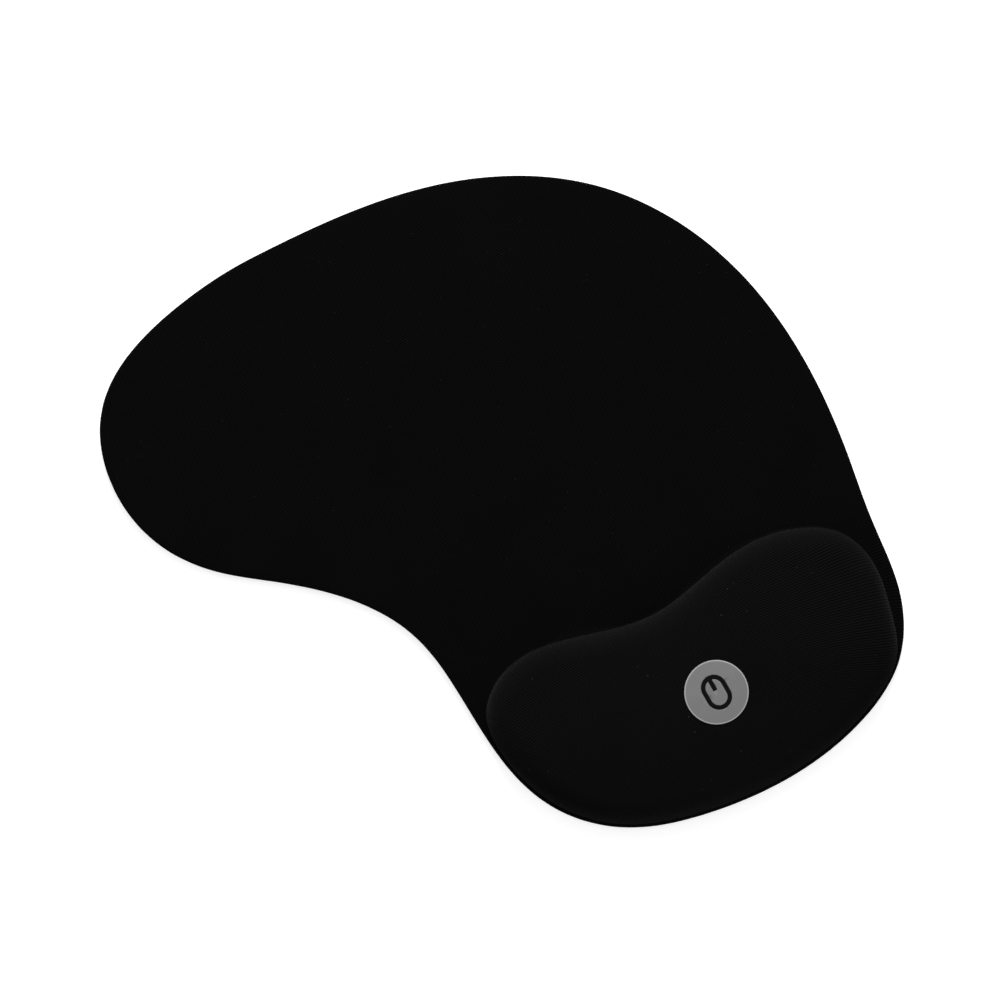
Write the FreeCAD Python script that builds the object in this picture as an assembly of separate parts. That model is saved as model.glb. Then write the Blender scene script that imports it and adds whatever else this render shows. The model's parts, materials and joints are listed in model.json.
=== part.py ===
import FreeCAD, Part

# Mouse mat with a gel wrist rest, built as the laminated product it is.
# From the desk up: moulded grip sheet, glue film, foam core, gel pouch let into the core, glue film,
# and one knit cover formed over everything and turned under at the edge. A print sits on the cushion.
#
# Frame: millimetres, +Z up from the desk, +Y away from the user, +X to the right hand.
# The origin is at desk level, under the centre of the mat's bounding box.

import math
import os

from FreeCAD import Vector

# ---- driving dimensions -------------------------------------------------------------------------

GRIP_T = 1.0  # moulded anti-slip sheet
GLUE_T = 0.15  # hot-melt film, wherever two layers are bonded flat
CORE_T = 2.5  # foam core
FABRIC_T = 0.7  # knit cover with its backing
FILM_T = 0.3  # film of the gel pouch
CUSHION_H = 20.0  # desk to the crown of the wrist cushion

EDGE_TOP_R = 1.3  # rounding of the mat's upper edge
EDGE_UNDER_R = 0.9  # rounding where the cover turns under
HEM_W = 7.0  # how far the cover is turned under
GRIP_INSET = 2.5  # the grip sheet stops short of the edge
FRONT_LIP = 1.5  # mat showing in front of the cushion
WELD_W = 0.8  # weld rim round the gel pouch
FITTING_GAP = 0.1  # round the edge of a layer that lies inside a turned or cut edge

CUSHION_R = 10.0  # rounding between the cushion's wall and its crown
CROWN_X_R = 900.0  # the crown's gentle arch from side to side
CROWN_Y_R = 140.0  # and from back to front
CROWN_TOP = Vector(27, -80, 0)  # where the crown is highest
CROWN_REACH = 110.0  # half the crown's span from side to side, past both ends of the cushion

BADGE_CENTRE = Vector(29.4, -82.3, 0)
BADGE_D = 21.2
BADGE_T = 0.3
BADGE_EDGE_R = 0.12
MARK_T = 0.15  # ink, let into the badge flush with its face
MARK_W = 8.6  # the mark is the outline of a computer mouse seen from above
MARK_H = 12.0
MARK_LINE = 1.5  # its line
MARK_SPLIT = 4.6  # length of the stroke that parts the two buttons

# The mat's edge is one smooth closed curve through these points, anticlockwise from the back.
MAT_POINTS = [
    (-33, 119.5),
    (-60, 118),
    (-102, 99),
    (-109, 58.5),
    (-96, 36),
    (-77, 20),
    (-48.5, -16),
    (-44, -64),
    (-37, -89),
    (-20, -107),
    (6, -117),
    (66, -116.5),
    (88.5, -104.5),
    (100, -84),
    (103.5, -60),
    (107.5, -37),
    (104, 43),
    (82, 80.5),
    (29.5, 111),
]
# The cushion follows the mat's edge along the front, FRONT_LIP inside it, from one of the mat's points
# to another. Its waisted back edge is free, anticlockwise from the right-hand end.
CUSHION_LEFT, CUSHION_RIGHT = 7, 12
CUSHION_BACK = [
    (94, -87),
    (96.5, -72),
    (92, -58),
    (80, -49.5),
    (62, -46),
    (44, -48.3),
    (27, -50.8),
    (10, -48),
    (-6, -43),
    (-20, -41),
    (-33, -44.5),
    (-41, -53),
]

INSET_STATIONS = 90  # points at which an inset curve is worked out
FRONT_STATIONS = 10  # and the cushion's front edge
NEARLY_LEVEL = 0.5  # upward part of a unit normal, past which a face is roof rather than wall
PAST = 1.0  # how far a cutting shape runs past what it cuts

# ---- levels above the desk ----------------------------------------------------------------------

Z_GRIP = GRIP_T
Z_HEM = Z_GRIP + GLUE_T  # underside of the hem and of the core
Z_CORE = Z_HEM + CORE_T  # top of the core
Z_COVER = Z_CORE + GLUE_T  # underside of the cover on the mat
Z_MAT = Z_COVER + FABRIC_T  # mousing surface
Z_POUCH_FLOOR = Z_CORE - 2 * FILM_T - GLUE_T  # the pocket in the core that seats the pouch


# ---- curves and slabs ---------------------------------------------------------------------------


def closed_curve(points):
    """A smooth closed curve through points in the XY plane."""
    curve = Part.BSplineCurve()
    curve.interpolate(Points=[Vector(x, y, 0) for x, y in points], PeriodicFlag=True)
    return curve


def centred(points):
    """The points, moved so that the closed curve through them has its bounding box centred on the origin."""
    box = closed_curve(points).toShape().optimalBoundingBox()
    return [(x - box.Center.x, y - box.Center.y) for x, y in points], box.Center


def inward(curve, parameter):
    """Unit vector in the XY plane from an anticlockwise curve towards its inside."""
    along = curve.tangent(parameter)[0]
    return Vector(-along.y, along.x, 0)


def inset(curve, distance):
    """The closed curve that runs inside another at a constant distance, or outside it if that is negative."""
    if distance == 0:
        return curve
    first, last = curve.FirstParameter, curve.LastParameter
    points = []
    for i in range(INSET_STATIONS):
        u = first + (last - first) * i / INSET_STATIONS
        p = curve.value(u) + inward(curve, u) * distance
        points.append((p.x, p.y))
    return closed_curve(points)


def slab(curve, z_low, z_high):
    """The solid between two levels inside a closed curve."""
    face = Part.Face(Part.Wire([curve.toShape()]))
    face.translate(Vector(0, 0, z_low))
    return face.extrude(Vector(0, 0, z_high - z_low))


def edges_at(solid, level):
    """The solid's edges that lie flat at one level."""
    flat = 1e-4
    return [
        e
        for e in solid.Edges
        if abs(e.BoundBox.ZMin - level) < flat and abs(e.BoundBox.ZMax - level) < flat
    ]


# ---- outlines -----------------------------------------------------------------------------------

MAT_POINTS_CENTRED, SHIFT = centred(MAT_POINTS)
MAT_EDGE = closed_curve(MAT_POINTS_CENTRED)


def cushion_edge():
    """The kidney-shaped foot of the wrist cushion."""
    ends = [MAT_POINTS_CENTRED[i] for i in (CUSHION_LEFT, CUSHION_RIGHT)]
    left, right = [MAT_EDGE.parameter(Vector(x, y, 0)) for x, y in ends]
    front = []
    for i in range(FRONT_STATIONS):
        u = left + (right - left) * i / (FRONT_STATIONS - 1)
        p = MAT_EDGE.value(u) + inward(MAT_EDGE, u) * FRONT_LIP
        front.append((p.x, p.y))
    back = [(x - SHIFT.x, y - SHIFT.y) for x, y in CUSHION_BACK]
    return closed_curve(front + back)


CUSHION_EDGE = cushion_edge()


# ---- the two shapes that every layer follows ----------------------------------------------------


def mat_body(depth):
    """The mat inside its outer surface by depth, from the hem's underside to the mousing surface."""
    low, high = Z_HEM + depth, Z_MAT - depth
    body = slab(inset(MAT_EDGE, depth), low, high)
    body = body.makeFillet(EDGE_TOP_R - depth, edges_at(body, high))
    if EDGE_UNDER_R > depth:
        body = body.makeFillet(EDGE_UNDER_R - depth, edges_at(body, low))
    return body


def crown(depth):
    """Everything under the cushion's arched crown, depth below it: a barrel lying from side to side."""
    axis_z = CUSHION_H - CROWN_Y_R
    arch_top = CUSHION_H - depth
    arch_end = CUSHION_H - CROWN_X_R + math.sqrt((CROWN_X_R - depth) ** 2 - CROWN_REACH**2)
    left, right = Vector(-CROWN_REACH, 0, arch_end), Vector(CROWN_REACH, 0, arch_end)
    arch = Part.Arc(left, Vector(0, 0, arch_top), right).toShape()
    foot_left, foot_right = Vector(-CROWN_REACH, 0, axis_z), Vector(CROWN_REACH, 0, axis_z)
    straight = Part.makePolygon([right, foot_right, foot_left, left])
    profile = Part.Face(Part.Wire([arch] + straight.Edges))
    barrel = profile.revolve(Vector(0, 0, axis_z), Vector(1, 0, 0), 360)
    barrel.translate(CROWN_TOP - SHIFT)
    return barrel


def cushion_body(depth, foot):
    """The cushion inside its outer surface by depth, from a foot level to its crown."""
    body = slab(inset(CUSHION_EDGE, depth), foot, CUSHION_H + PAST).common(crown(depth))
    crown_edge = [e for f in body.Faces for e in f.Edges if is_crown(f)]
    return body.makeFillet(CUSHION_R - depth, crown_edge)


def is_crown(face):
    """Whether a face of the unrounded cushion is its arched top: neither flat nor an upright wall."""
    middle = face.normalAt(*[sum(face.ParameterRange[i : i + 2]) / 2 for i in (0, 2)])
    flat = isinstance(face.Surface, Part.Plane)
    return not flat and middle.z > NEARLY_LEVEL


# ---- nodes --------------------------------------------------------------------------------------


def knit_cover():
    """One piece of knit, formed over the core and the gel pouch and turned under by HEM_W."""
    outside = mat_body(0).fuse(cushion_body(0, Z_COVER))
    inside = mat_body(FABRIC_T).fuse(cushion_body(FABRIC_T, Z_COVER - GLUE_T))
    opening = slab(inset(MAT_EDGE, HEM_W), Z_HEM - PAST, Z_HEM + FABRIC_T + PAST)
    return outside.cut(inside).cut(opening)


def foam_core():
    """The mat's foam, rebated underneath for the hem and pocketed on top for the gel pouch."""
    body = slab(inset(MAT_EDGE, FABRIC_T + FITTING_GAP), Z_HEM, Z_CORE)
    hem_zone = slab(MAT_EDGE, Z_HEM - PAST, Z_HEM + FABRIC_T)
    hem_zone = hem_zone.cut(slab(inset(MAT_EDGE, HEM_W + FITTING_GAP), Z_HEM - PAST, Z_HEM + FABRIC_T))
    pocket = slab(inset(CUSHION_EDGE, FABRIC_T - WELD_W), Z_POUCH_FLOOR, Z_CORE + PAST)
    return body.cut(hem_zone).cut(pocket)


def grip_sheet():
    """The moulded anti-slip sheet that the mat stands on."""
    return slab(inset(MAT_EDGE, GRIP_INSET), 0, GRIP_T)


def grip_glue_film():
    """The film that bonds the grip sheet to the hem and the core."""
    return slab(inset(MAT_EDGE, GRIP_INSET), Z_GRIP, Z_HEM)


def cover_glue_film():
    """The film that bonds the cover to the core, open where the gel pouch comes through."""
    sheet = slab(inset(MAT_EDGE, EDGE_TOP_R + FITTING_GAP), Z_CORE, Z_COVER)
    return sheet.cut(slab(inset(CUSHION_EDGE, FABRIC_T), Z_CORE - PAST, Z_COVER + PAST))


def pocket_layer(z_low, z_high):
    """A flat layer that lies in the core's pocket."""
    return slab(inset(CUSHION_EDGE, FABRIC_T - WELD_W + FITTING_GAP), z_low, z_high)


def pouch_glue_film():
    return pocket_layer(Z_POUCH_FLOOR, Z_POUCH_FLOOR + GLUE_T)


def pouch_lower_film():
    return pocket_layer(Z_POUCH_FLOOR + GLUE_T, Z_CORE - FILM_T)


def pouch_upper_film():
    """The formed film that gives the gel its shape, welded to the lower film all round."""
    foot = Z_CORE - FILM_T
    dome = cushion_body(FABRIC_T, foot)
    hollow = cushion_body(FABRIC_T + FILM_T, foot - GLUE_T)
    return pocket_layer(foot, Z_CORE).fuse(dome).cut(hollow)


def gel_core():
    return cushion_body(FABRIC_T + FILM_T, Z_CORE - FILM_T)


def upright_capsule(width, height):
    """A tall solid of capsule section, longest from front to back, centred on the badge."""
    r = width / 2
    reach = height / 2 - r
    middle = BADGE_CENTRE - SHIFT
    tall = 2 * CUSHION_H
    solid = Part.makeBox(width, 2 * reach, tall, middle - Vector(r, reach, 0))
    for end in (-reach, reach):
        solid = solid.fuse(Part.makeCylinder(r, tall, middle + Vector(0, end, 0)))
    return solid.removeSplitter()


def badge_layer(z_from, z_to):
    """The badge's disc between two heights above the cushion's crown."""
    disc = Part.makeCylinder(BADGE_D / 2, 2 * CUSHION_H, BADGE_CENTRE - SHIFT)
    return disc.common(crown(-z_to)).cut(crown(-z_from))


def badge_mark():
    """Ink in the shape of a computer mouse: its outline, and a stroke between its two buttons."""
    inner = upright_capsule(MARK_W - 2 * MARK_LINE, MARK_H - 2 * MARK_LINE)
    outline = upright_capsule(MARK_W, MARK_H).cut(inner)
    corner = BADGE_CENTRE - SHIFT + Vector(-MARK_LINE / 2, MARK_H / 2 - MARK_LINE / 2 - MARK_SPLIT, 0)
    stroke = Part.makeBox(MARK_LINE, MARK_SPLIT, 2 * CUSHION_H, corner)
    return badge_layer(BADGE_T - MARK_T, BADGE_T).common(outline.fuse(stroke).removeSplitter())


def badge_disc():
    """The printed disc, with its rim rounded and the ink let into its face."""
    disc = badge_layer(0, BADGE_T)
    rims = [e for e in disc.Edges if e.Length > BADGE_D]
    rim = max(rims, key=lambda e: e.CenterOfMass.z)
    return disc.makeFillet(BADGE_EDGE_R, [rim]).cut(badge_mark())


NODES = [
    grip_sheet,
    grip_glue_film,
    foam_core,
    pouch_glue_film,
    pouch_lower_film,
    gel_core,
    pouch_upper_film,
    cover_glue_film,
    knit_cover,
    badge_disc,
    badge_mark,
]

os.makedirs("parts", exist_ok=True)
for build in NODES:
    solid, = build().Solids
    solid.exportStep(f"parts/{build.__name__}.step")
    box = solid.BoundBox
    print(f"{build.__name__:18s} {solid.Volume / 1000:8.3f} cm3  z {box.ZMin:6.2f} to {box.ZMax:6.2f}")
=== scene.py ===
import json
import math
from itertools import pairwise

import bmesh
import bpy
from mathutils import Matrix, Vector, noise
from mathutils.bvhtree import BVHTree


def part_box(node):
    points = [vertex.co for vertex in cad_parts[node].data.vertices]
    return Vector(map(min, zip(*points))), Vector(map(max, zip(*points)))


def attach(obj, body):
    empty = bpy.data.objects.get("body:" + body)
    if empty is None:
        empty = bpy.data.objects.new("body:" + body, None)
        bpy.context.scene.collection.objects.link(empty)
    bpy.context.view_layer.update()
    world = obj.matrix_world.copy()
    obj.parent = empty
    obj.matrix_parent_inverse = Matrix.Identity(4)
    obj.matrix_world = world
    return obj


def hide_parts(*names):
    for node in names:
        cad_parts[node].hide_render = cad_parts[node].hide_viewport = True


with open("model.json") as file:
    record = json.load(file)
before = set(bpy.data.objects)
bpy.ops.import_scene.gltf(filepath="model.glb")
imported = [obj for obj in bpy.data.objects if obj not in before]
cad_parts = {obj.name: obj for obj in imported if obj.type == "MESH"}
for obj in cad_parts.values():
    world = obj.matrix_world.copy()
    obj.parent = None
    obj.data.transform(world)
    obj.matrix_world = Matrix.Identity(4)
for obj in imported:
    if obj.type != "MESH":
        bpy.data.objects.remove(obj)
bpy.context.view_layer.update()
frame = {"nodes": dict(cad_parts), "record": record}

MM = 0.001

# ---- Grip sheet -------------------------------------------------------------------------------------------
# The sheet that keeps the mat from sliding on the desk: 1 mm of black polyurethane, cast in a mould that
# leaves a field of shallow hexagonal dimples underneath, inside a plain border. It is bonded on last.

GRIP_CORNER = 0.2 * MM
DIMPLE_PITCH = 5 * MM
DIMPLE_LAND = 0.9 * MM
DIMPLE_SLOPE = 0.3 * MM
DIMPLE_DEPTH = 0.35 * MM
DIMPLE_BORDER = 1.6 * MM
DIMPLE_WELD = 0.01 * MM  # joins the corners that neighbouring dimples share
EDGE_SPACING = 1.6 * MM  # between the points of an outline taken from the frame
SAME_POINT = 0.001 * MM  # points no further apart than this are one point
CUT_TOLERANCE = 0.0001 * MM
SHARP_OVER = math.radians(30)  # edges that turn more than this stay crisp

UP, DOWN = Vector((0, 0, 1)), Vector((0, 0, -1))


def merged_copy(node):
    """A bmesh of a frame node, with its loose triangles joined into one skin."""
    bm = bmesh.new()
    bm.from_mesh(frame["nodes"][node].data)
    bmesh.ops.remove_doubles(bm, verts=bm.verts, dist=SAME_POINT)
    return bm


def connected(vert):
    """Every vertex that edges join to this one."""
    found, ends = {vert}, [vert]
    while ends:
        new = {e.other_vert(v) for v in ends for e in v.link_edges} - found
        found |= new
        ends = list(new)
    return found


def cap(bm, facing):
    """Closes the open edge with one flat face that looks up or down."""
    face, = bmesh.ops.edgeloop_fill(bm, edges=[e for e in bm.edges if len(e.link_faces) < 2])["faces"]
    face.normal_update()
    if face.normal.dot(facing) < 0:
        face.normal_flip()
    return face


def section(node, level):
    """A bmesh holding the outermost outline of a frame node where a level plane cuts it."""
    bm = merged_copy(node)
    everything = [*bm.verts, *bm.edges, *bm.faces]
    cut = {"plane_co": (0, 0, level), "plane_no": UP, "clear_inner": True, "clear_outer": True}
    bmesh.ops.bisect_plane(bm, geom=everything, dist=CUT_TOLERANCE, **cut)
    outline = connected(max(bm.verts, key=lambda v: v.co.y))
    bmesh.ops.delete(bm, geom=[v for v in bm.verts if v not in outline], context="VERTS")
    bmesh.ops.remove_doubles(bm, verts=bm.verts, dist=EDGE_SPACING)
    if len(bm.verts) % 2:
        bmesh.ops.dissolve_verts(bm, verts=[max(bm.verts, key=lambda v: v.co.x)])
    return bm


def sweep(bm, face, steps):
    """Carries a face on through (inward, onward) steps, leaving a wall behind it."""
    for inward, onward in steps:
        bmesh.ops.inset_region(
            bm, faces=[face], use_boundary=True, use_even_offset=True, thickness=inward, depth=onward
        )


def quarter_round(radius, steps):
    """Steps that turn a wall through a quarter circle until it is flat."""
    turns = [math.pi / 2 * i / steps for i in range(steps + 1)]
    points = [(radius * (1 - math.cos(a)), radius * math.sin(a)) for a in turns]
    return [(b[0] - a[0], b[1] - a[1]) for a, b in pairwise(points)]


def each_once(things):
    """The things in the order they come, without repeats. A set would put them in another order each run."""
    return list(dict.fromkeys(things))


def add_dimples(bm, low, high):
    """Lays a honeycomb of cells inside the sheet's border and sinks each one."""
    sheet = BVHTree.FromBMesh(merged_copy("grip_sheet"))
    side = DIMPLE_PITCH / math.sqrt(3)
    row_gap = 1.5 * side
    reach = Vector((side + DIMPLE_BORDER, 0, 0))
    guard = [Matrix.Rotation(math.radians(a), 3, "Z") @ reach for a in range(0, 360, 30)]
    cells = []
    for row in range(round((high.y - low.y) / row_gap)):
        for column in range(round((high.x - low.x) / DIMPLE_PITCH)):
            x = low.x + (column + row % 2 / 2) * DIMPLE_PITCH
            centre = Vector((x, low.y + row * row_gap, low.z))
            if all(sheet.ray_cast(centre + g + DOWN, UP)[0] for g in guard):
                place = Matrix.Translation(centre) @ Matrix.Rotation(math.pi, 4, "X")
                made = bmesh.ops.create_circle(bm, cap_ends=True, segments=6, radius=side, matrix=place)
                cells += made["verts"][0].link_faces
    bmesh.ops.remove_doubles(bm, verts=each_once(v for c in cells for v in c.verts), dist=DIMPLE_WELD)
    for inward, onward in ((DIMPLE_LAND / 2, 0), (DIMPLE_SLOPE, -DIMPLE_DEPTH)):
        bmesh.ops.inset_individual(bm, faces=cells, use_even_offset=True, thickness=inward, depth=onward)


def moulded_sheet():
    """A bmesh of the sheet, made from its outline half-way up: a flat top, and dimples underneath."""
    low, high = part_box("grip_sheet")
    middle = (low.z + high.z) / 2
    bm = section("grip_sheet", middle)
    sweep(bm, cap(bm, UP), [(0, high.z - middle)])
    underside = cap(bm, DOWN)
    sweep(bm, underside, [(0, middle - low.z - GRIP_CORNER), *quarter_round(GRIP_CORNER, steps=3)])
    bmesh.ops.delete(bm, geom=[underside], context="FACES_ONLY")
    add_dimples(bm, low, high)
    open_edges = [e for e in bm.edges if e.is_boundary]
    bmesh.ops.triangle_fill(bm, use_beauty=True, edges=open_edges, normal=DOWN)
    bmesh.ops.recalc_face_normals(bm, faces=bm.faces)
    return bm


def finished_piece(name, bm, finish, stands_for):
    """Makes the object, gives it its finish and fixes it to the one rigid body in place of a frame node."""
    mesh = bpy.data.meshes.new(name)
    bm.to_mesh(mesh)
    bm.free()
    mesh.shade_smooth()
    mesh.set_sharp_from_angle(angle=SHARP_OVER)
    made = bpy.data.objects.new(name, mesh)
    bpy.context.scene.collection.objects.link(made)
    made.data.materials.append(finish)
    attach(made, "root")
    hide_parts(stands_for)
    return made


class Value:
    """A socket of a finish, on which sums can be written."""

    def __init__(self, finish, socket):
        self.finish = finish
        self.socket = socket

    def maths(self, operation, *others, first=None):
        values = [self if first is None else first, *others]
        names = ("Value", "Value_001")
        return self.finish.node("ShaderNodeMath", {"operation": operation}, dict(zip(names, values)))

    def __add__(self, other):
        return self.maths("ADD", other)

    def __sub__(self, other):
        return self.maths("SUBTRACT", other)

    def __rsub__(self, other):
        return self.maths("SUBTRACT", self, first=other)

    def __mul__(self, other):
        return self.maths("MULTIPLY", other)

    def __truediv__(self, other):
        return self.maths("DIVIDE", other)

    def __pow__(self, other):
        return self.maths("POWER", other)

    def __lt__(self, other):
        return self.maths("LESS_THAN", other)

    def __gt__(self, other):
        return self.maths("GREATER_THAN", other)

    __radd__ = __add__

    def fraction(self):
        return self.maths("FRACT")

    def size(self):
        return self.maths("ABSOLUTE")

    def between(self, low, high):
        """0 at low, 1 at high, with a smooth change between and no change beyond."""
        inputs = {"Value": self, "From Min": low, "From Max": high}
        return self.finish.node("ShaderNodeMapRange", {"interpolation_type": "SMOOTHSTEP"}, inputs)


class Finish:
    """A material under construction: a Principled surface and the nodes that feed it."""

    def __init__(self, name, **constants):
        self.material = bpy.data.materials.new(name)
        self.material.use_nodes = True
        self.tree = self.material.node_tree
        self.surface = next(n for n in self.tree.nodes if n.type == "BSDF_PRINCIPLED")
        for socket, value in constants.items():
            self.surface.inputs[socket.replace("_", " ")].default_value = value

    def node(self, kind, settings=None, inputs=None, output=None):
        """Adds a node, with its settings made first, then the values or links of its sockets."""
        made = self.tree.nodes.new(kind)
        for setting, value in (settings or {}).items():
            setattr(made, setting, value)
        for name, value in (inputs or {}).items():
            self.put(self.named(made.inputs, name), value)
        return Value(self, self.named(made.outputs, output) if output else made.outputs[0])

    def named(self, sockets, name):
        return next(s for s in sockets if name in (s.identifier, s.name))

    def put(self, socket, value):
        if isinstance(value, Value):
            self.tree.links.new(value.socket, socket)
        else:
            socket.default_value = value

    def feed(self, **values):
        """Links values to the surface."""
        for name, value in values.items():
            self.put(self.surface.inputs[name.replace("_", " ")], value)

    def position(self):
        """The place on the piece, in metres."""
        return self.node("ShaderNodeTexCoord", output="Object")

    def grain(self, place, size, detail=2, rough=0.5):
        """Cloudy variation from 0 to 1, with lumps of about the size given."""
        settings = {"noise_dimensions": "3D"}
        inputs = {"Vector": place, "Scale": 1 / size, "Detail": detail, "Roughness": rough}
        return self.node("ShaderNodeTexNoise", settings, inputs)

    def cells(self, place, size):
        """The distance to the nearest of many scattered points, which are about the size given apart."""
        inputs = {"Vector": place, "Scale": 1 / size}
        return self.node("ShaderNodeTexVoronoi", {"feature": "F1"}, inputs, "Distance")

    def parts(self, vector):
        """The X, Y and Z of a vector."""
        split = self.node("ShaderNodeSeparateXYZ", None, {"Vector": vector})
        return [Value(self, s) for s in split.socket.node.outputs]

    def mix(self, amount, low, high):
        """A colour between two others, each a grey level or three numbers."""
        low, high = [(c, c, c, 1) if isinstance(c, float) else c for c in (low, high)]
        inputs = {"Factor_Float": amount, "A_Color": low, "B_Color": high}
        return self.node("ShaderNodeMix", {"data_type": "RGBA"}, inputs, "Result_Color")

    def bump(self, height, depth):
        """A normal for a relief in which a height of 1 stands depth metres above a height of 0."""
        return self.node("ShaderNodeBump", None, {"Height": height, "Distance": depth})


def cast_polyurethane():
    """Matt black, greyer and smoother on the lands that rub the desk, with dust low in the dimples."""
    finish = Finish("cast_polyurethane", Specular_IOR_Level=0.35)
    place = finish.position()
    height = finish.parts(place)[2]
    rubbed = 1 - height.between(0.02 * MM, 0.12 * MM)
    in_dimple = height.between(0.2 * MM, 0.34 * MM)
    cloud = finish.grain(place, 22 * MM, 4)
    skin = finish.grain(place, 0.35 * MM, 3, 0.6)
    shade = finish.mix(cloud, 0.014, 0.026)
    worn = finish.mix(rubbed * cloud * 0.8, shade, 0.045)
    finish.feed(
        Base_Color=finish.mix(in_dimple * skin * 0.5, worn, 0.06),
        Roughness=0.78 - rubbed * 0.16 + skin * 0.12,
        Normal=finish.bump(skin, 0.03 * MM),
    )
    return finish.material


grip_sheet = finished_piece("moulded_grip_sheet", moulded_sheet(), cast_polyurethane(), "grip_sheet")

# ---- Adhesive films ---------------------------------------------------------------------------------------
# Three sheets of smoky hot-melt film, 0.15 mm thick: under the core, under the gel pouch and under the cover.
# Heat and pressure bond them, which leaves them cloudy, with fine trapped bubbles.


def hot_melt():
    """Smoky and cloudy, with paler bubbles."""
    finish = Finish("hot_melt_film", Specular_IOR_Level=0.5)
    place = finish.position()
    cloud = finish.grain(place, 6 * MM, 4)
    bubbles = 1 - finish.cells(place, 0.9 * MM).between(0.1, 0.3)
    finish.feed(
        Base_Color=finish.mix(cloud * 0.7 + bubbles * 0.3, 0.06, 0.13),
        Roughness=0.3 + cloud * 0.25,
        Normal=finish.bump(cloud - bubbles * 0.5, 0.05 * MM),
    )
    return finish.material


def inner_layer(node, finish):
    """A layer whose frame shape is right as it is, and only needs its finish."""
    frame["nodes"][node].material_slots[0].material = finish


hot_melt_film = hot_melt()
for layer in ("grip_glue_film", "pouch_glue_film", "cover_glue_film"):
    inner_layer(layer, hot_melt_film)

# ---- Foam core --------------------------------------------------------------------------------------------
# The sheet of dark polyurethane foam that makes the mat, die-cut, rebated for the hem and pocketed for the
# pouch. Its cells are a few tenths of a millimetre across, and cut ones show as small pits.


def cut_foam():
    """Dull dark grey, pitted in two sizes, with painted shade darkening the pits."""
    finish = Finish("core_foam", Specular_IOR_Level=0.2)
    place = finish.position()
    pits = 1 - finish.cells(place, 0.45 * MM).between(0.15, 0.55)
    fine_pits = 1 - finish.cells(place, 0.17 * MM).between(0.2, 0.5)
    cloud = finish.grain(place, 15 * MM, 3)
    # Painted shade: the pits are darkened towards 0.01.
    finish.feed(
        Base_Color=finish.mix(pits * 0.6 + fine_pits * 0.4, finish.mix(cloud, 0.028, 0.042), 0.01),
        Roughness=0.86 + fine_pits * 0.1,
        Normal=finish.bump(1 - pits - fine_pits * 0.4, 0.2 * MM),
    )
    return finish.material


inner_layer("foam_core", cut_foam())

# ---- Gel pouch --------------------------------------------------------------------------------------------
# Soft blue-grey gel in a pouch of clear film. The lower film is flat, the upper one is drawn over a
# kidney-shaped mould, and a flat weld joins them all round before the pouch is let into the core.


def soft_gel():
    """Translucent blue-grey, swirled by pouring, with a few small bubbles."""
    finish = Finish("soft_gel", Subsurface_Weight=0.35, Subsurface_Scale=8 * MM, Coat_Weight=0.4)
    place = finish.position()
    swirl = finish.grain(place, 30 * MM, 3)
    bubbles = 1 - finish.cells(place, 7 * MM).between(0.03, 0.07)
    blue = finish.mix(swirl, (0.2, 0.36, 0.5, 1), (0.29, 0.47, 0.6, 1))
    finish.feed(
        Base_Color=finish.mix(bubbles, blue, (0.6, 0.75, 0.85, 1)),
        Roughness=0.12 + swirl * 0.1,
        Normal=finish.bump(swirl - bubbles, 0.3 * MM),
    )
    return finish.material


def drawn_film():
    """Pale and glossy, a little darker in places where it is drawn, and faintly rippled."""
    finish = Finish("pouch_film", Specular_IOR_Level=0.6, Coat_Weight=0.5, Coat_Roughness=0.1)
    place = finish.position()
    ripple = finish.grain(place, 4 * MM, 3, 0.4)
    draw = finish.grain(place, 25 * MM)
    finish.feed(
        Base_Color=finish.mix(draw, (0.5, 0.57, 0.62, 1), (0.68, 0.74, 0.78, 1)),
        Roughness=0.08 + ripple * 0.14,
        Normal=finish.bump(ripple, 0.06 * MM),
    )
    return finish.material


inner_layer("gel_core", soft_gel())
pouch_film = drawn_film()
for layer in ("pouch_lower_film", "pouch_upper_film"):
    inner_layer(layer, pouch_film)

# ---- Knit cover -------------------------------------------------------------------------------------------
# One piece of fine-ribbed black polyester knit over the whole mat. It is formed hot over the core and the gel
# pouch, pressed into the corner round the cushion's foot, and turned under at the edge by 7 mm.

KNIT_T = 0.7 * MM
EDGE_TOP_R = 1.3 * MM
EDGE_UNDER_R = 0.9 * MM
HEM = 7 * MM
WALL_LEVEL = 2.6 * MM  # where the mat's edge is upright
CUSHION_LEVEL = 6 * MM  # where the cushion's wall is upright
SHOULDER_R = 10 * MM
HEM_RINGS = 3  # rings of faces across the hem
WALL_RINGS = 3  # and up the cushion's wall
FITTING_ROUNDS = 5  # of smoothing the cushion and laying it back on the frame's surface
CROWN_ENDS = 0.15  # share of the crown's outline that each end of its grid takes
FOOT_FLARE = 0.2 * MM  # the pressed corner between the cushion and the mat
FOOT_H = 3 * FOOT_FLARE
FLAT_SPACING = 6 * MM  # between the points of the flat mat
FLAT_ROUNDS = 8  # of halving the edges that are longer than that, at most
MAT_RIPPLE = 0.15 * MM
RIPPLE_LENGTH = 35 * MM
LEVEL_MARGIN = 0.01 * MM
LEVEL_FACE = 0.9999  # upward part of the normal of a face on the flat mat
CREASE = math.radians(40)

SLACK = 0.2 * MM  # the cloth starts this far inside the cushion
SLACK_FADES_IN = 4 * MM  # above the foot
STRETCH_RESISTANCE = 4
PRESSURE = 4
FORMING_FRAMES = 20
MOST_SWELL = 1.2 * MM
SETTLING_ROUNDS = 3

RIB_PITCH = 0.78 * MM
STITCH_PITCH = 0.8 * MM

mat_level = next(m["pos_m"][2] for m in frame["record"]["mounts"] if m["name"] == "mousing_surface")


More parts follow.
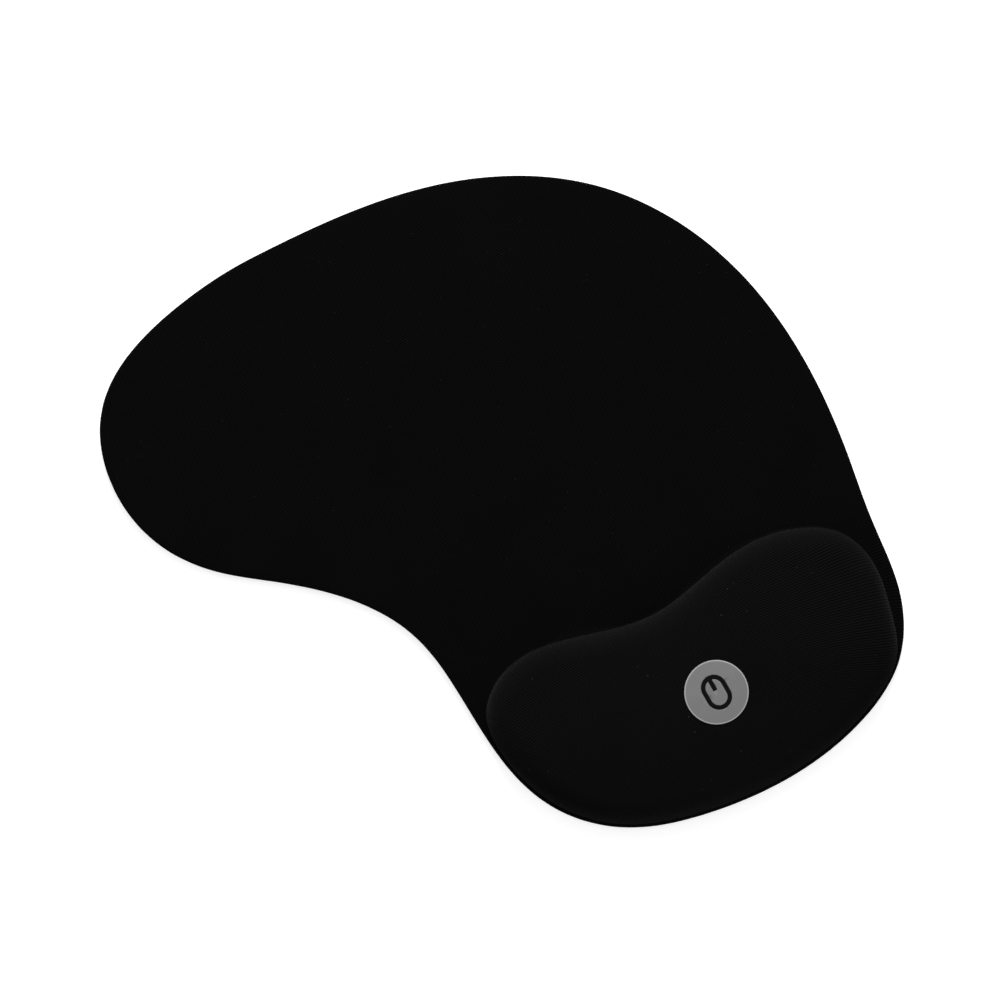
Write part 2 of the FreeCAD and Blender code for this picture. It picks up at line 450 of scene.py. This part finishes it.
def outside_of(node):
    """The faces of a frame node that are reached from its highest one without crossing a crease."""
    bm = merged_copy(node)
    top = max(bm.faces, key=lambda face: face.calc_center_median().z)
    found, ends = {top}, [top]
    while ends:
        soft = {e for face in ends for e in face.edges if e.calc_face_angle(math.pi) < CREASE}
        new = {face for e in soft for face in e.link_faces} - found
        found |= new
        ends = list(new)
    bmesh.ops.delete(bm, geom=[face for face in bm.faces if face not in found], context="FACES")
    return BVHTree.FromBMesh(bm)


cushion_surface = outside_of("knit_cover")


def fill_crown(bm, crown):
    """Replaces the face on the cushion's crown with a grid that runs from end to end."""
    edges = [loop.edge for loop in crown.loops]
    verts = [loop.vert for loop in crown.loops]
    bmesh.ops.delete(bm, geom=[crown], context="FACES_ONLY")
    across = round(len(edges) * CROWN_ENDS)
    along = len(edges) // 2 - across
    left = min(range(len(verts)), key=lambda i: verts[i].co.x)
    first = left + across // 2 + across % 2
    rails = [edges[(first + start + i) % len(edges)] for start in (0, along + across) for i in range(along)]
    return bmesh.ops.grid_fill(bm, edges=rails)["faces"]


def smooth(bm, verts, upward=True):
    """Moves each vertex half-way to the middle of its neighbours, or only sideways if upward is off."""
    bmesh.ops.smooth_vert(bm, verts=verts, factor=0.5, use_axis_x=True, use_axis_y=True, use_axis_z=upward)


def cushion_skin():
    """The cushion's foot, wall, shoulder and crown, lying on the frame's surface."""
    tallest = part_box("knit_cover")[1].z
    bm = section("knit_cover", CUSHION_LEVEL)
    crown = cap(bm, UP)
    wall = tallest - SHOULDER_R - CUSHION_LEVEL
    sweep(bm, crown, [(0, wall / WALL_RINGS)] * WALL_RINGS + quarter_round(SHOULDER_R, steps=9))
    fill_crown(bm, crown)
    raised = [v for v in bm.verts if v.co.z > CUSHION_LEVEL + LEVEL_MARGIN]
    for _ in range(FITTING_ROUNDS):
        smooth(bm, raised)
        for v in raised:
            v.co = cushion_surface.find_nearest(v.co)[0]
    foot = cap(bm, DOWN)
    drop = CUSHION_LEVEL - mat_level
    flare = [(-FOOT_FLARE / 4, 2 * FOOT_FLARE), (-FOOT_FLARE * 3 / 4, FOOT_FLARE)]
    sweep(bm, foot, [(0, drop - FOOT_H), *flare])
    bmesh.ops.delete(bm, geom=[foot], context="FACES_ONLY")
    return bm


def mat_skin():
    """The mat's rolled edge and the hem under it, open on top and underneath."""
    bm = section("knit_cover", WALL_LEVEL)
    top = cap(bm, UP)
    sweep(bm, top, [(0, mat_level - EDGE_TOP_R - WALL_LEVEL), *quarter_round(EDGE_TOP_R, steps=5)])
    under = cap(bm, DOWN)
    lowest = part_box("knit_cover")[0].z
    sweep(bm, under, [(0, WALL_LEVEL - EDGE_UNDER_R - lowest), *quarter_round(EDGE_UNDER_R, steps=4)])
    sweep(bm, under, [((HEM - EDGE_UNDER_R) / HEM_RINGS, 0)] * HEM_RINGS)
    bmesh.ops.delete(bm, geom=[top, under], context="FACES_ONLY")
    return bm


def fill_flat(bm):
    """Fills the mat's top, from its rolled edge to the cushion's foot, with even, faintly rippled faces."""
    open_edges = [e for e in bm.edges if e.is_boundary]
    rim = [e for e in open_edges if all(abs(v.co.z - mat_level) < LEVEL_MARGIN for v in e.verts)]
    fixed = {*rim, *(v for e in rim for v in e.verts)}
    filled = bmesh.ops.triangle_fill(bm, use_beauty=True, edges=rim, normal=UP)["geom"]
    faces = [g for g in filled if isinstance(g, bmesh.types.BMFace)]
    for _ in range(FLAT_ROUNDS):
        inner = [e for e in each_once(e for face in faces for e in face.edges) if e not in fixed]
        long = [e for e in inner if e.calc_length() > FLAT_SPACING]
        if not long:
            break
        split = bmesh.ops.subdivide_edges(bm, edges=long, cuts=1)["geom"]
        faces = each_once(g for g in [*faces, *split] if isinstance(g, bmesh.types.BMFace))
        faces = bmesh.ops.triangulate(bm, faces=faces)["faces"]
        inner = [e for e in each_once(e for face in faces for e in face.edges) if e not in fixed]
        bmesh.ops.beautify_fill(bm, faces=faces, edges=inner)
        faces = [face for face in bm.faces if face.is_valid and len(face.verts) == 3]
        free = [v for v in each_once(v for face in faces for v in face.verts) if v not in fixed]
        smooth(bm, free, upward=False)
    for v in free:
        v.co.z += MAT_RIPPLE * (0.5 + 0.5 * noise.noise(v.co / RIPPLE_LENGTH))
    bmesh.ops.triangulate(bm, faces=[face for face in bm.faces if len(face.verts) > 4])


def cover_skin():
    """The whole outer face of the cover in one bmesh, open only inside the hem."""
    bm = mat_skin()
    cushion_bm = cushion_skin()
    cushion = bpy.data.meshes.new("cushion")
    cushion_bm.to_mesh(cushion)
    cushion_bm.free()
    bm.from_mesh(cushion)
    bpy.data.meshes.remove(cushion)
    fill_flat(bm)
    bmesh.ops.recalc_face_normals(bm, faces=bm.faces)
    return bm


def with_modifiers_applied(made):
    """Makes a piece's modifiers part of its mesh."""
    depsgraph = bpy.context.evaluated_depsgraph_get()
    mesh = bpy.data.meshes.new_from_object(made.evaluated_get(depsgraph))
    made.modifiers.clear()
    made.data = mesh


def form_under_pressure(cover):
    """Swells the cloth over the cushion, holds it down everywhere else and lays it back on the pouch."""
    rest = [v.co.copy() for v in cover.data.vertices]
    foot = mat_level + FOOT_H
    for v in cover.data.vertices:
        v.co -= v.normal * SLACK * min(1, max(0, (v.co.z - foot) / SLACK_FADES_IN))
    pressed = [i for i, start in enumerate(rest) if start.z < foot]
    cover.vertex_groups.new(name="pressed_down").add(pressed, 1, "REPLACE")
    cloth = cover.modifiers.new("forming", "CLOTH").settings
    cloth.vertex_group_mass = "pressed_down"
    cloth.tension_stiffness = cloth.compression_stiffness = cloth.shear_stiffness = STRETCH_RESISTANCE
    cloth.use_pressure = True
    cloth.uniform_pressure_force = PRESSURE
    cloth.effector_weights.gravity = 0
    for step in range(1, FORMING_FRAMES + 1):
        bpy.context.scene.frame_set(step)
    with_modifiers_applied(cover)
    bm = bmesh.new()
    bm.from_mesh(cover.data)
    free = [v for v, start in zip(bm.verts, rest) if start.z > foot]
    starts = [start for start in rest if start.z > foot]
    for _ in range(SETTLING_ROUNDS):
        smooth(bm, free)
        for v, start in zip(free, starts):
            swell = v.co - start
            v.co = start + swell * min(1, MOST_SWELL / max(swell.length, SAME_POINT))
            on_pouch, facing = cushion_surface.find_nearest(v.co)[:2]
            if (v.co - on_pouch).dot(facing) < 0:
                v.co = on_pouch
    bm.to_mesh(cover.data)
    bm.free()
    cover.vertex_groups.clear()
    bpy.context.scene.frame_set(1)


def lay_out_knit(cover):
    """Gives the cloth coordinates in metres: X and Y on the flat mat, and unrolled from there elsewhere."""
    bm = bmesh.new()
    bm.from_mesh(cover.data)
    knit = bm.loops.layers.uv.new("Knit")
    for face in bm.faces:
        flat = face.normal.z > LEVEL_FACE and face.calc_center_median().z < mat_level + FOOT_H
        for loop in face.loops:
            loop[knit].uv = loop.vert.co.xy
            loop[knit].pin_uv = flat
    bm.to_mesh(cover.data)
    bm.free()
    bpy.context.view_layer.objects.active = cover
    bpy.ops.object.mode_set(mode="EDIT")
    bpy.ops.mesh.select_all(action="SELECT")
    bpy.ops.uv.unwrap(method="CONFORMAL", margin=0)
    bpy.ops.object.mode_set(mode="OBJECT")


def black_knit():
    """Fine ribs across the mat, each a row of leaning stitches, with painted shade in the grooves between
    them; dull black, greyer the higher it stands on the cushion.
    """
    finish = Finish("black_knit", Specular_IOR_Level=0.01, Sheen_Weight=0.03, Sheen_Roughness=0.4)
    place = finish.position()
    along, across = finish.parts(finish.node("ShaderNodeUVMap", {"uv_map": "Knit"}))[:2]
    wander = finish.grain(place, 9 * MM) - 0.5
    row = across / RIB_PITCH + wander * 0.35
    rib = 1 - (row.fraction() * 2 - 1) ** 2
    stitch = 1 - ((along / STITCH_PITCH + row * 0.5).fraction() * 2 - 1) ** 2
    yarn = rib**0.6 * (stitch * 0.5 + 0.5)
    fuzz = finish.grain(place, 0.3 * MM, 3, 0.7)
    cloud = finish.grain(place, 26 * MM, 4)
    raised = (yarn * 0.52 + fuzz * 0.48).between(0.28, 0.75)
    # The yarn is greyer the higher the knit stands, from the mat up to 14 mm on the cushion.
    higher_on_cushion = finish.parts(place)[2].between(mat_level, 14 * MM)
    yarn_top = finish.mix(higher_on_cushion, finish.mix(cloud, 0.0022, 0.0033), finish.mix(cloud, 0.0034, 0.0048))
    # Painted shade: the grooves between the raised yarn are darkened to near black.
    cloth = finish.mix(raised, finish.mix(cloud, 0.0002, 0.0004), yarn_top)
    lint = (finish.cells(place, 3.2 * MM) < 0.055) * (finish.grain(place, 11 * MM) > 0.54)
    finish.feed(
        Base_Color=finish.mix(lint * (higher_on_cushion * 0.7 + 0.3), cloth, 0.028),
        Roughness=0.82 + fuzz * 0.16 - cloud * 0.06,
        Normal=finish.bump(yarn + fuzz * 0.5, 0.2 * MM),
    )
    return finish.material


knit_cover = finished_piece("formed_knit_cover", cover_skin(), black_knit(), "knit_cover")
form_under_pressure(knit_cover)
rounding = knit_cover.modifiers.new("rounding", "SUBSURF")
rounding.levels = rounding.render_levels = 1
with_modifiers_applied(knit_cover)
lay_out_knit(knit_cover)
outer_surface = BVHTree.FromObject(knit_cover, bpy.context.evaluated_depsgraph_get())
thickness = knit_cover.modifiers.new("thickness", "SOLIDIFY")
thickness.thickness = KNIT_T
thickness.offset = -1
with_modifiers_applied(knit_cover)

# ---- Badge ------------------------------------------------------------------------------------------------
# A round grey transfer printed on the cushion, 21.2 mm across, and the outline of a computer mouse in black
# ink let into its face. Both are plastisol, cured by heat, and follow the crown of the formed cloth.

RIM_W = 0.45 * MM


def lifted_onto_cloth(node):
    """A copy of a printed layer, moved up or down point by point from the frame's crown to the formed one."""
    crown = BVHTree.FromBMesh(merged_copy("knit_cover"))
    bm = merged_copy(node)
    for v in bm.verts:
        above = Vector((v.co.x, v.co.y, 1))
        v.co.z += outer_surface.ray_cast(above, DOWN)[0].z - crown.ray_cast(above, DOWN)[0].z
    return bm


def printed_grey():
    """Even mid grey with a paler fine rim, and the knit just showing through."""
    finish = Finish("badge_print", Specular_IOR_Level=0.15)
    low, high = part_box("badge_disc")
    centre = (low + high) / 2
    place = finish.position()
    x, y, _ = finish.parts(place)
    from_centre = ((x - centre.x) ** 2 + (y - centre.y) ** 2) ** 0.5
    rim = from_centre.between((high.x - low.x) / 2 - RIM_W, (high.x - low.x) / 2 - RIM_W * 0.7)
    grain = finish.grain(place, 0.25 * MM, 3, 0.6)
    cloud = finish.grain(place, 5 * MM, 3)
    rows = ((y / RIB_PITCH).fraction() * 2 - 1).size()
    face = finish.mix(grain * 0.5 + cloud * 0.5, 0.128, 0.156)
    finish.feed(
        Base_Color=finish.mix(rim, face, 0.29),
        Roughness=0.5 + grain * 0.2,
        Normal=finish.bump(grain * 0.4 - rows * 0.6, 0.05 * MM),
    )
    return finish.material


def printed_black():
    """Matt black with a fine grain."""
    finish = Finish("badge_ink", Specular_IOR_Level=0.04)
    place = finish.position()
    grain = finish.grain(place, 0.2 * MM, 3, 0.6)
    finish.feed(
        Base_Color=finish.mix(grain, 0.0015, 0.004),
        Roughness=0.5 + grain * 0.25,
        Normal=finish.bump(grain, 0.03 * MM),
    )
    return finish.material


disc = lifted_onto_cloth("badge_disc")
badge_disc = finished_piece("printed_badge_disc", disc, printed_grey(), "badge_disc")
mark = lifted_onto_cloth("badge_mark")
badge_mark = finished_piece("printed_badge_mark", mark, printed_black(), "badge_mark")

# ---- Studio -----------------------------------------------------------------------------------------------
# A white table lit from within, which throws no light back on the mat, an even white sky, and one soft lamp
# behind the mat leave next to no shadow. The camera is straight above, turned so that the mat lies aslant.

TURN = math.radians(30)
CAMERA_HEIGHT = 1.2
FRAME_WIDTH = 0.3333
SENSOR = 36  # in millimetres, as lenses are measured
LOOKS_AT = Vector((-0.69, 8.49, 0)) * MM
LAMP_DISTANCE = 1.4
LAMP_RISE = math.radians(35)
LAMP_SIZE = 0.7
LAMP_POWER = 22
TABLE_REACH = 20
TABLE_GLOW = 0.5
SKY_GLOW = 0.75

picture_up = Vector((math.sin(TURN), math.cos(TURN), 0))

table_bm = bmesh.new()
bmesh.ops.create_grid(table_bm, x_segments=1, y_segments=1, size=TABLE_REACH)
table_mesh = bpy.data.meshes.new("table")
table_bm.to_mesh(table_mesh)
table_bm.free()
table = bpy.data.objects.new("table", table_mesh)
bpy.context.scene.collection.objects.link(table)
white_glass = Finish(
    "white_glass",
    Base_Color=(0.85, 0.85, 0.85, 1),
    Roughness=0.9,
    Specular_IOR_Level=0.1,
    Emission_Color=(1, 1, 1, 1),
    Emission_Strength=TABLE_GLOW,
)
table_mesh.materials.append(white_glass.material)
table.visible_diffuse = table.visible_glossy = False

world = bpy.data.worlds.new("white_sky")
world.use_nodes = True
sky = next(n for n in world.node_tree.nodes if n.type == "BACKGROUND")
sky.inputs["Color"].default_value = (1, 1, 1, 1)
sky_nodes, sky_links = world.node_tree.nodes, world.node_tree.links
direction = sky_nodes.new("ShaderNodeTexCoord")
height = sky_nodes.new("ShaderNodeSeparateXYZ")
sky_links.new(direction.outputs["Generated"], height.inputs["Vector"])
above_table = sky_nodes.new("ShaderNodeMath")
above_table.operation = "GREATER_THAN"
above_table.inputs[1].default_value = 0
sky_links.new(height.outputs["Z"], above_table.inputs[0])
brightness = sky_nodes.new("ShaderNodeMath")
brightness.operation = "MULTIPLY"
brightness.inputs[1].default_value = SKY_GLOW
sky_links.new(above_table.outputs["Value"], brightness.inputs[0])
sky_links.new(brightness.outputs["Value"], sky.inputs["Strength"])
bpy.context.scene.world = world

lamp_data = bpy.data.lights.new("soft_lamp", "AREA")
lamp_data.shape = "DISK"
lamp_data.size = LAMP_SIZE
lamp_data.energy = LAMP_POWER
lamp = bpy.data.objects.new("soft_lamp", lamp_data)
lamp_way = picture_up * math.cos(LAMP_RISE) + UP * math.sin(LAMP_RISE)
lamp.location = lamp_way * LAMP_DISTANCE
lamp.rotation_euler = lamp_way.to_track_quat("Z", "Y").to_euler()
bpy.context.scene.collection.objects.link(lamp)

camera_data = bpy.data.cameras.new("camera")
camera_data.sensor_width = SENSOR
camera_data.lens = SENSOR * (CAMERA_HEIGHT - mat_level) / FRAME_WIDTH
camera = bpy.data.objects.new("camera", camera_data)
camera.location = LOOKS_AT + UP * CAMERA_HEIGHT
camera.rotation_euler = (0, 0, -TURN)
bpy.context.scene.collection.objects.link(camera)
bpy.context.scene.camera = camera
bpy.context.scene.view_settings.view_transform = "Standard"
